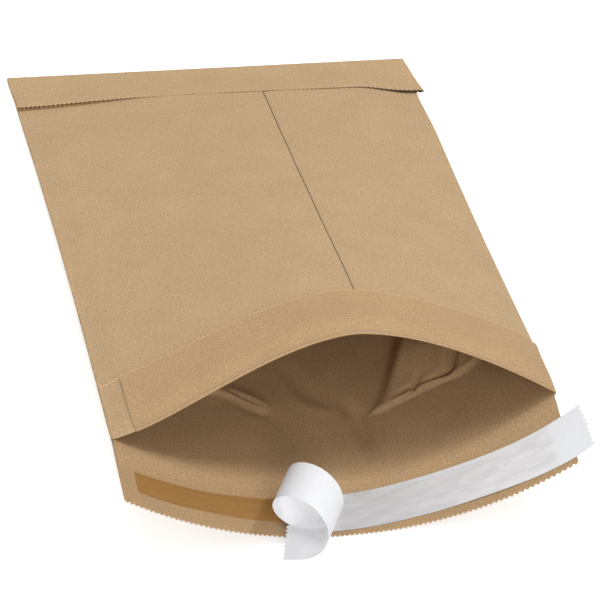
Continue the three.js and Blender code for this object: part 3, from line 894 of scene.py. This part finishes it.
def paper_grain_group():
    """Fine grain, fibres that lie along the machine's direction, flecks and slow clouds"""
    name = "Paper Grain"
    if name in bpy.data.node_groups:
        return bpy.data.node_groups[name]
    sockets = [
        ("Place", "INPUT", "Vector", None),
        ("Grain Scale", "INPUT", "Float", 1000.0),
        ("Cloud Scale", "INPUT", "Float", 40.0),
        ("Fleck Share", "INPUT", "Float", 0.3),
        ("Tone", "OUTPUT", "Float", None),
        ("Flecks", "OUTPUT", "Float", None),
        ("Height", "OUTPUT", "Float", None),
    ]
    nodes, given, out = group_tree(name, "ShaderNodeTree", sockets)
    place, scale = given["Place"], given["Grain Scale"]
    fine = nodes.noise(place, scale, 3.0, 0.65)
    fibres = nodes.noise(nodes.stretched(place, (1.0, 0.14, 1.0)), scale, 2.0, 0.6)
    crossing = nodes.noise(nodes.stretched(place, (0.22, 1.0, 1.0)), scale, 1.0, 0.5)
    clouds = nodes.noise(place, given["Cloud Scale"], 3.0, 0.55)
    grain = nodes.blended(fine, 0.78, nodes.blended(fibres, 0.6, crossing))
    nodes.set(out, "Tone", nodes.ramp(nodes.blended(grain, 0.9, clouds), 0.3, 0.7))
    spots = nodes.noise(nodes.stretched(place, (1.0, 0.45, 1.0)), nodes.scaled(scale, 0.6))
    edge = nodes.scaled(given["Fleck Share"], -0.25, 0.78)
    nodes.set(out, "Flecks", nodes.ramp(spots, edge, nodes.scaled(edge, 1.0, 0.08)))
    nodes.set(out, "Height", nodes.blended(grain, 0.6, clouds))
    return nodes.tree


def kraft_material(name, colour, contrast):
    """Kraft paper, a little paler on the lip and where it was cut, with painted highlights on the mouth's
    fold and the lip's edge and painted shade along the bottom lap's edge and the lap seam
    """
    nodes = Material(name)
    cut = nodes.stored("cut_edge_and_painted_light")
    grain = nodes.grain(nodes.stored("flat_place", "Vector"), 1100.0, 38.0, 0.5)
    plain = nodes.toned(grain["Tone"], colour, 1 - contrast, 1 + contrast)
    # A little paler on the lip
    lip_paler = nodes.toned(grain["Tone"], colour, LIP_PALE_TONE - contrast, LIP_PALE_TONE + contrast)
    base = nodes.mix(nodes.ramp(cut, 0.1, 0.4), plain, lip_paler)
    flecked = nodes.mix(nodes.scaled(grain["Flecks"], 0.35), base, shade(colour, 0.78))
    # Paler cut edges; the fold's painted highlight starts here too
    pale = nodes.mix(nodes.ramp(cut, 0.45, 1.0), flecked, shade(colour, 1.1))
    # Painted shade where the tone is below 0
    painted_shade = nodes.mix(nodes.ramp(cut, -0.25, -1.0), pale, shade(colour, 0.42))
    # Painted highlight where the tone is above 0.9
    painted_highlight = nodes.mix(nodes.ramp(cut, 0.9, 2.0), painted_shade, shade(colour, 1.3))
    roughness = nodes.scaled(grain["Tone"], 0.1, 0.78)
    return nodes.finish(painted_highlight, roughness, (0.45, 0.0002, grain["Height"]), Specular_IOR_Level=0.3)


def fibre_material(colour):
    """Loose kraft fibres, some paler than others"""
    nodes = Material("loose fibres")
    tone = nodes.ramp(nodes.noise(nodes.object_place(), 900.0), 0.35, 0.65)
    return nodes.finish(nodes.toned(tone, colour, 0.92, 1.12), 0.9)


def shredded_material(colour):
    """Grey shredded paper"""
    nodes = Material("shredded paper")
    grain = nodes.grain(nodes.object_place(), 400.0, 90.0, 0.9)
    base = nodes.mix(grain["Flecks"], nodes.toned(grain["Tone"], colour, 0.75, 1.2), shade(colour, 0.45))
    return nodes.finish(base, 0.95, (0.8, 0.001, grain["Height"]))


def glue_material():
    """Dried glue between the laps"""
    nodes = Material("dried glue")
    streaks = nodes.noise(nodes.stretched(nodes.object_place(), (1.0, 0.1, 1.0)), 500.0)
    return nodes.finish(nodes.toned(streaks, DRIED_GLUE, 0.9, 1.05), nodes.ramp(streaks, 0.1, 0.9))


def adhesive_material(colour):
    """Tacky amber adhesive, through which the kraft's grain shows"""
    nodes = Material("amber adhesive")
    place = nodes.stored("flat_place", "Vector")
    grain = nodes.grain(place, 800.0, 60.0, 0.3)
    drag = nodes.noise(nodes.stretched(place, (0.05, 1.0, 1.0)), 500.0, 3.0, 0.6)
    base = nodes.toned(grain["Tone"], colour, 0.92, 1.07)
    dragged = nodes.mix(nodes.ramp(drag, 0.35, 0.75), base, shade(colour, 1.05))
    return nodes.finish(dragged, nodes.scaled(drag, 0.2, 0.3), (0.25, 0.0002, drag))


def liner_material(colour):
    """White release paper, cloudy grey over the adhesive, with a painted glow where it is curled that
    stands in for light coming through it
    """
    nodes = Material("release paper")
    place = nodes.stored("flat_place", "Vector")
    grain = nodes.grain(place, 700.0, 70.0, 0.2)
    clouds = nodes.noise(nodes.stretched(place, (1.0, 0.3, 1.0)), 260.0, 4.0, 0.62)
    parts = nodes.add("ShaderNodeSeparateXYZ", {"Vector": place}).outputs
    along, back_face = parts["Y"], nodes.ramp(parts["Z"], 0.0, 0.05)
    white = nodes.toned(grain["Tone"], colour, 0.985, 1.01)
    grey = nodes.toned(nodes.ramp(along, 0.0, 0.09), STUCK_LINER, 0.9, 1.03)
    cloudy = nodes.toned(nodes.ramp(clouds, 0.35, 0.65), WHITE, 0.945, 1.0)
    base = nodes.mix(nodes.stored("stuck"), white, nodes.mix(1.0, grey, cloudy, "MULTIPLY"))
    # Painted glow on the curl and the tail, by emission
    through = nodes.toned(back_face, colour, 0.44, 0.2)
    before_tail = nodes.scaled(nodes.ramp(along, -0.115, -0.085), 0.9, 0.1)
    painted_glow_share = nodes.scaled(nodes.ramp(along, -0.008, -0.03), before_tail)
    glow = nodes.mix(painted_glow_share, (0.0, 0.0, 0.0, 1.0), through)
    roughness = nodes.scaled(grain["Tone"], 0.08, 0.5)
    bump = (0.08, 0.0002, grain["Height"])
    return nodes.finish(base, roughness, bump, Emission_Color=glow, Emission_Strength=1.0)


def finish_piece(piece, material, slot, *nodes):
    piece.data.materials.clear()
    piece.data.materials.append(material)
    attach(piece, "root")
    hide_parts(*nodes)


# Loose fibres on the cut edges


def fibre_tree():
    """Thin tapered slivers scattered along the edges of the object's mesh"""
    sockets = [
        ("Geometry", "INPUT", "Geometry", None),
        ("Spacing", "INPUT", "Float", 0.0006),
        ("Fibre Length", "INPUT", "Float", 0.0009),
        ("Fibre Radius", "INPUT", "Float", 0.00004),
        ("Seed", "INPUT", "Int", 4),
        ("Paper", "INPUT", "Material", None),
        ("Geometry", "OUTPUT", "Geometry", None),
    ]
    nodes, given, out = group_tree("Cut Edge Fibres", "GeometryNodeTree", sockets)
    curve = nodes.add("GeometryNodeMeshToCurve", {"Mesh": given["Geometry"]}).outputs["Curve"]
    spaced = {"Curve": curve, "Length": given["Spacing"]}
    points = nodes.add("GeometryNodeResampleCurve", spaced, mode="LENGTH").outputs["Curve"]
    cone = {
        "Vertices": 4,
        "Side Segments": 2,
        "Radius Top": 0.00001,
        "Radius Bottom": given["Fibre Radius"],
        "Depth": given["Fibre Length"],
    }
    sliver = nodes.add("GeometryNodeMeshCone", cone).outputs["Mesh"]
    angles = {"Seed": given["Seed"], "Min": (-0.9, -0.9, 0.0), "Max": (0.9, 0.9, 6.28)}
    turn = nodes.add("FunctionNodeRandomValue", angles, data_type="FLOAT_VECTOR").outputs["Value"]
    sizes = {"Seed": given["Seed"], 2: 0.35, 3: 1.0}
    size = nodes.add("FunctionNodeRandomValue", sizes, data_type="FLOAT").outputs[1]
    lean = nodes.add("FunctionNodeEulerToRotation", {"Euler": turn}).outputs[0]
    named = {"Name": "outward"}
    outward = nodes.add("GeometryNodeInputNamedAttribute", named, data_type="FLOAT_VECTOR").outputs[0]
    leaning = {"Rotation": lean, "Factor": 0.8, "Vector": outward}
    facing = nodes.add("FunctionNodeAlignRotationToVector", leaning).outputs[0]
    scattered = {"Points": points, "Instance": sliver, "Rotation": facing, "Scale": size}
    placed = nodes.add("GeometryNodeInstanceOnPoints", scattered).outputs["Instances"]
    real = nodes.add("GeometryNodeRealizeInstances", {"Geometry": placed}).outputs["Geometry"]
    papered = {"Geometry": real, "Material": given["Paper"]}
    nodes.set(out, "Geometry", nodes.add("GeometryNodeSetMaterial", papered).outputs["Geometry"])
    return nodes.tree


def made_plain(piece, name):
    """The evaluated object's mesh as a plain object in place of the one with the modifier"""
    graph = bpy.context.evaluated_depsgraph_get()
    mesh = bpy.data.meshes.new_from_object(piece.evaluated_get(graph))
    mesh.name = name
    plain = linked(name, mesh)
    bpy.data.objects.remove(piece, do_unlink=True)
    return plain


def set_input(modifier, name, value):
    items = modifier.node_group.interface.items_tree
    item = next(item for item in items if item.name == name and item.in_out == "INPUT")
    modifier[item.identifier] = value


# Operators


def tube_rows(bands):
    """Distances from the far fold of the tube's rows, closer together where the paper bends"""
    rows = [*np.linspace(0, BOTTOM_LAP, 6), *np.linspace(BOTTOM_LAP, BOTTOM_LAP + PADDING_TAPER, 7)[1:]]
    for band in bands:
        rows += [*np.arange(*band)]
    return rows + [*np.linspace(rows[-1], PANEL_LENGTH, 8)[1:]]


def outer_sheet(sizes):
    ply = Ply(OUTER_FACE, OUTER_BACK, (True, True), sizes, lifted=True)
    return ply_sheet(Web(sizes.tooth_pitch, SEAM), ply, tube_rows(OUTER_ROWS), sizes)


def inner_sheet(sizes):
    ply = Ply(INNER_BACK, INNER_FACE, (False, False), sizes)
    return ply_sheet(Web(sizes.tooth_pitch, WEB_END), ply, tube_rows(INNER_ROWS), sizes)


class ENVELOPE_OT_kraft_plies(bpy.types.Operator):
    """Make the outer and the inner kraft ply, with their folds, laps and knife teeth"""

    bl_idname = "envelope.kraft_plies"
    bl_label = "Kraft Plies"

    def execute(self, context):
        sizes = context.scene.envelope_sizes
        colours = context.scene.envelope_colours
        outer_paper = kraft_material("outer kraft", colours.kraft, 0.115)
        inner_paper = kraft_material("inner kraft", colours.inner_kraft, 0.12)
        finish_piece(outer_sheet(sizes).mesh("outer_ply"), outer_paper, "outer_kraft", "outer_sheet")
        finish_piece(inner_sheet(sizes).mesh("inner_ply"), inner_paper, "inner_kraft", "inner_sheet")
        return {"FINISHED"}


class ENVELOPE_OT_fibres(bpy.types.Operator):
    """Scatter loose fibres along the knife teeth of both plies"""

    bl_idname = "envelope.fibres"
    bl_label = "Loose Fibres"

    def execute(self, context):
        sizes = context.scene.envelope_sizes
        points, ways, edges = [], [], []
        for line, way in outer_sheet(sizes).ends + inner_sheet(sizes).ends:
            edges.extend((len(points) + step, len(points) + step + 1) for step in range(len(line) - 1))
            points.extend((line + (0, SHIFT_Y, 0)) * 0.001)
            ways.extend(way)
        mesh = bpy.data.meshes.new("cut edges")
        mesh.from_pydata([tuple(point) for point in points], edges, [])
        store(mesh, "outward", ways)
        piece = linked("cut edges", mesh)
        modifier = piece.modifiers.new("fibres", "NODES")
        modifier.node_group = fibre_tree()
        set_input(modifier, "Spacing", sizes.fibre_spacing)
        set_input(modifier, "Fibre Length", sizes.fibre_length)
        set_input(modifier, "Paper", fibre_material(context.scene.envelope_colours.kraft))
        piece = made_plain(piece, "cut_edge_fibres")
        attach(piece, "root")
        return {"FINISHED"}


class ENVELOPE_OT_padding(bpy.types.Operator):
    """Make the pad of shredded paper between the plies"""

    bl_idname = "envelope.padding"
    bl_label = "Padding"

    def execute(self, context):
        sizes = context.scene.envelope_sizes
        web = Web(2 * sizes.tooth_pitch, WEB_END)
        faces = (OUTER_BACK - PAD_CLEARANCE, INNER_BACK + PAD_CLEARANCE)
        pad = Ply(*faces, (True, False), sizes, covering=False)
        sheet = Sheet(web.columns)
        end = PANEL_LENGTH - 4
        padded = [along for along in tube_rows(INNER_ROWS) if BOTTOM_LAP + 4 < along < end]
        alongs = [bent(web.columns, along) for along in padded]
        rows = [sheet.row(panel_places(pad, web.columns, along), along) for along in alongs]
        sheet.patch(rows, web.all)
        past = np.linspace(end, PANEL_LENGTH + PADDING_PAST_MOUTH - 4, 10)
        rows = [rows[-1]] + [sheet.row(panel_places(pad, web.columns, along), along) for along in past]
        sheet.patch(rows, web.lower)
        piece = sheet.mesh("shredded_pad")
        material = shredded_material(context.scene.envelope_colours.padding)
        finish_piece(piece, material, "macerated_padding", "padding")
        return {"FINISHED"}


class ENVELOPE_OT_glue(bpy.types.Operator):
    """Make the glue under the lap seam, the lip and the bottom lap"""

    bl_idname = "envelope.glue"
    bl_label = "Glue Films"

    def execute(self, context):
        material = glue_material()
        end = SEAM - GLUE_MARGIN / HALF_WIDTH
        seam = np.linspace(end - SEAM_GLUE_WIDTH / HALF_WIDTH, end, 7)
        seam_end = PANEL_LENGTH - PADDING_TAPER * 0.3
        seam_rows = [along for along in tube_rows(OUTER_ROWS) if along <= seam_end]
        inside = np.linspace(WEB_END, 1 - GLUE_MARGIN / HALF_WIDTH, 90)
        lip_rows = np.linspace(PANEL_LENGTH - LIP_DEPTH + 4, PANEL_LENGTH - 3, 12)
        bottom_rows = np.linspace(GLUE_MARGIN, BOTTOM_LAP * 0.5, 4)
        for name, node, rows, across, on_seam in [
            ("seam_glue_film", "seam_glue", seam_rows, seam, True),
            ("lip_glue_film", "lip_glue", lip_rows, inside, False),
            ("bottom_glue_film", "bottom_glue", bottom_rows, inside, False),
        ]:
            film = film_sheet(rows, across, along_seam=on_seam)
            finish_piece(film.mesh(name), material, "paper_glue", node)
        return {"FINISHED"}


def flap_columns(x, half):
    """Columns of the lower panel at places x from its middle"""
    count = len(x)
    return Columns(x / half, np.zeros(count), np.zeros(count, dtype=bool), x)


def flap_place(x, along, height):
    columns = flap_columns(np.atleast_1d(x) - MOUTH_SHIFT, half_chord_at(PANEL_LENGTH))
    return on_panel(columns, along, INNER_FACE - height)


class ENVELOPE_OT_adhesive(bpy.types.Operator):
    """Make the adhesive strip on the flap"""

    bl_idname = "envelope.adhesive"
    bl_label = "Adhesive Strip"

    def execute(self, context):
        half = half_chord_at(PANEL_LENGTH)
        end = half * (1 - ADHESIVE_SIDE_MARGIN / HALF_WIDTH)
        x = np.linspace(-end, end, 160)
        sheet = Sheet(flap_columns(x, half))
        near = PANEL_LENGTH + FLAP_LENGTH - ADHESIVE_FROM_FLAP_EDGE
        far = near - ADHESIVE_WIDTH
        wave = sum(height * np.sin(x / length) for height, length in ADHESIVE_WAVES)
        numbers = []
        for share in np.linspace(0, 1, 9):
            along = far + (near - far) * share
            crown = 1.5 * LAYER_GAP + ADHESIVE_FILM * (1 - (2 * share - 1) ** 6)
            faces = [flap_place(x, along, LAYER_GAP), flap_place(x, along, crown)]
            for face in faces:
                face[:, 1] += wave * (2 * share - 1)
            numbers.append(sheet.row(faces, along))
        sheet.patch(numbers, np.arange(len(x)))
        material = adhesive_material(context.scene.envelope_colours.adhesive)
        finish_piece(sheet.mesh("adhesive"), material, "sealing_adhesive", "adhesive_strip")
        return {"FINISHED"}


def curl_frame(swing, heading):
    """The curl's axis towards the viewer, the way along the paper and the way out of it"""
    skew = CURL_HELIX + (CURL_SKEW - CURL_HELIX) * float(smooth(swing))
    axis = np.array([-math.sin(skew), -math.cos(skew), 0.0])
    level = np.array([-math.cos(skew), math.sin(skew), 0.0])
    onward = level * math.cos(heading) + (0, 0, math.sin(heading))
    normal = -level * math.sin(heading) + (0, 0, math.cos(heading))
    return axis, onward, normal


def curl_path(start):
    """Steps (centre, frame, length) of the liner's free part: it lifts off, then goes once round"""
    centre, heading, length = np.array(start), 0.0, 0.0
    path = [(centre, curl_frame(0, 0), 0.0)]

    def go(distance, swing, new_heading):
        nonlocal centre, heading, length
        axis, onward, _ = curl_frame(swing, (heading + new_heading) / 2)
        centre = centre + onward * distance + axis * distance * math.tan(CURL_HELIX)
        heading = new_heading
        length += distance
        path.append((centre, curl_frame(swing, heading), length))

    for cell in range(1, LIFT_CELLS + 1):
        share = cell / LIFT_CELLS
        go(LIFT_LENGTH / LIFT_CELLS, share, LIFT_ANGLE * min(1.0, 2 * share))
    step = CURL_TURN / CURL_CELLS
    for cell in range(CURL_CELLS):
        radius = CURL_RADIUS - CURL_TIGHTENING_PER_RADIAN * step * (cell + 0.5)
        go(2 * radius * math.tan(step / 2), 1.0, heading + step)
    return path


def liner_sheet(depth):
    """The liner's rows: the flat part from its right end, the curled part and the tail"""
    middle = PANEL_LENGTH + FLAP_LENGTH - LINER_FROM_FLAP_EDGE - LINER_WIDTH / 2
    base = 3 * LAYER_GAP + ADHESIVE_FILM
    heights = (base + LINER_FILM, base)
    across = np.linspace(-0.5, 0.5, 19)
    forward = across * LINER_WIDTH
    sheet = Sheet(Columns(across, across, across > 9, forward))
    teeth = zigzag(sheet.columns, depth)
    end = half_chord_at(PANEL_LENGTH) + LINER_OVERHANG - depth
    rows = []
    for offset in [teeth, -BEHIND_TEETH, *-np.arange(3, end - CURL_START, 2.2)]:
        x = end + np.broadcast_to(offset, len(across))
        ripple = LINER_RIPPLE * (1 + np.sin(x / 9.0)) * eased(x, 20, 40) * (across + 0.5)
        bow = LINER_BOW * np.sin(np.pi * np.clip((x - CURL_START) / LINER_BOW_LENGTH, 0, 1)) ** 1.5
        faces = [flap_place(x, middle - bow + forward, height + ripple) for height in heights]
        rows.append(sheet.row(faces, x, 1.0 if offset is teeth else 0.0))
    path = curl_path(flap_place(-LIFT_OFF_LEFT_OF_CENTRE, middle, LIFT_START)[0])
    forward = forward[:, None]
    for centre, (axis, _, normal), length in path:
        side = forward / math.cos(CURL_HELIX) * axis
        faces = [centre + side + normal * height for height in heights]
        rows.append(sheet.row(faces, CURL_START - length))
    centre, (axis, onward, normal), length = path[-1]
    for reach, cut in [(0.5, 0.0), (0.85, 0.0), (1.0, 1.0)]:
        run = (TAIL_LENGTH - depth) * reach + teeth[:, None] * cut
        place = centre + onward * (run * math.cos(CURL_HELIX) - forward * math.sin(CURL_HELIX))
        place = place + axis * (run * math.sin(CURL_HELIX) + forward * math.cos(CURL_HELIX))
        faces = [place + normal * height for height in heights]
        rows.append(sheet.row(faces, CURL_START - length - run[:, 0], cut))
    sheet.patch(rows, np.arange(len(across)))
    return sheet


class ENVELOPE_OT_release_liner(bpy.types.Operator):
    """Make the release liner: stuck at the right, lifted off and curled over at the left"""

    bl_idname = "envelope.release_liner"
    bl_label = "Release Liner"

    def execute(self, context):
        piece = liner_sheet(context.scene.envelope_sizes.tooth_depth).mesh("liner")
        flat = np.zeros(len(piece.data.vertices) * 3)
        piece.data.attributes["flat_place"].data.foreach_get("vector", flat)
        along = flat.reshape(-1, 3)[:, 1] * 1000
        right_end = half_chord_at(PANEL_LENGTH) - ADHESIVE_SIDE_MARGIN
        store(piece.data, "stuck", eased(along, CURL_START - 3, 8) * eased(along, right_end + 2, -4))
        material = liner_material(context.scene.envelope_colours.liner)
        finish_piece(piece, material, "release_paper", "release_liner")
        return {"FINISHED"}


class ENVELOPE_OT_stage(bpy.types.Operator):
    """Set up the floor, the lights and the camera"""

    bl_idname = "envelope.stage"
    bl_label = "Stage"

    def execute(self, context):
        settings = context.scene.envelope_stage
        scene = context.scene
        scene.view_settings.view_transform = "Standard"
        self.floor(settings)
        self.lamps(scene)
        self.camera(scene, settings)
        return {"FINISHED"}

    def floor(self, settings):
        mesh = bpy.data.meshes.new("floor")
        corners = [(-1, -1), (1, -1), (1, 1), (-1, 1)]
        corners = [(x * FLOOR_REACH, y * FLOOR_REACH, FLOOR_LEVEL) for x, y in corners]
        mesh.from_pydata(corners, [], [(0, 1, 2, 3)])
        nodes = Material("pale floor")
        cloud = nodes.noise(nodes.object_place(), 3.0)
        seen = nodes.add("ShaderNodeLightPath").outputs["Is Camera Ray"]
        glow = nodes.scaled(seen, FLOOR_GLOW)
        colour = nodes.toned(cloud, settings.floor, 0.995, 1.0)
        material = nodes.finish(colour, 0.9, Emission_Color=(*WHITE, 1.0), Emission_Strength=glow)
        mesh.materials.append(material)
        linked("floor", mesh)

    def lamps(self, scene):
        world = bpy.data.worlds.new("studio")
        world.use_nodes = True
        scene.world = world
        nodes = Nodes(world.node_tree)
        seen = nodes.add("ShaderNodeLightPath").outputs["Is Camera Ray"]
        background = world.node_tree.nodes["Background"]
        nodes.set(background, "Color", (*WHITE, 1.0))
        nodes.set(background, "Strength", nodes.scaled(seen, 1 - WORLD_LIGHT, WORLD_LIGHT))
        for name, place, aim, size, power in LAMPS:
            data = bpy.data.lights.new(name, "AREA")
            data.shape = "DISK"
            data.size = size
            data.energy = power
            lamp = linked(name, data)
            lamp.location = place
            lamp.rotation_euler = (Vector(aim) - Vector(place)).to_track_quat("-Z", "Y").to_euler()

    def camera(self, scene, settings):
        azimuth, elevation, roll = (math.radians(angle) for angle in CAMERA_ANGLES)
        x, y = CAMERA_TARGET
        target = Vector((x, y + SHIFT_Y * 0.001, 0.0))
        back = Vector((
            math.sin(azimuth) * math.cos(elevation),
            -math.cos(azimuth) * math.cos(elevation),
            math.sin(elevation),
        ))
        right = (-back).cross(Vector((0, 0, 1))).normalized()
        up = right.cross(-back)
        turned_right = math.cos(roll) * right + math.sin(roll) * up
        turned_up = -math.sin(roll) * right + math.cos(roll) * up
        data = bpy.data.cameras.new("camera")
        data.lens = settings.lens
        data.sensor_width = 36.0
        data.clip_end = 50.0
        camera = linked("camera", data)
        axes = Matrix((turned_right, turned_up, back)).transposed().to_4x4()
        camera.matrix_world = Matrix.Translation(target + back * CAMERA_DISTANCE) @ axes
        scene.camera = camera


class ENVELOPE_PT_panel(bpy.types.Panel):
    bl_idname = "ENVELOPE_PT_panel"
    bl_label = "Padded Envelope"
    bl_space_type = "VIEW_3D"
    bl_region_type = "UI"
    bl_category = "Envelope"

    def draw(self, context):
        layout = self.layout
        for setting, group in SETTINGS.items():
            for name in group.__annotations__:
                layout.prop(getattr(context.scene, setting), name)
        for operator in OPERATORS:
            layout.operator(operator.bl_idname)


OPERATORS = (
    ENVELOPE_OT_kraft_plies,
    ENVELOPE_OT_fibres,
    ENVELOPE_OT_padding,
    ENVELOPE_OT_glue,
    ENVELOPE_OT_adhesive,
    ENVELOPE_OT_release_liner,
    ENVELOPE_OT_stage,
)
SETTINGS = {
    "envelope_sizes": PaperSizes,
    "envelope_colours": PaperColours,
    "envelope_stage": StageSettings,
}
CLASSES = (*SETTINGS.values(), *OPERATORS, ENVELOPE_PT_panel)


def register():
    for cls in CLASSES:
        bpy.utils.register_class(cls)
    for name, group in SETTINGS.items():
        setattr(bpy.types.Scene, name, bpy.props.PointerProperty(type=group))


def unregister():
    for name in SETTINGS:
        delattr(bpy.types.Scene, name)
    for cls in reversed(CLASSES):
        bpy.utils.unregister_class(cls)


def main():
    register()
    bpy.ops.envelope.kraft_plies()
    bpy.ops.envelope.fibres()
    bpy.ops.envelope.padding()
    bpy.ops.envelope.glue()
    bpy.ops.envelope.adhesive()
    bpy.ops.envelope.release_liner()
    bpy.ops.envelope.stage()


if __name__ == "__main__":
    main()
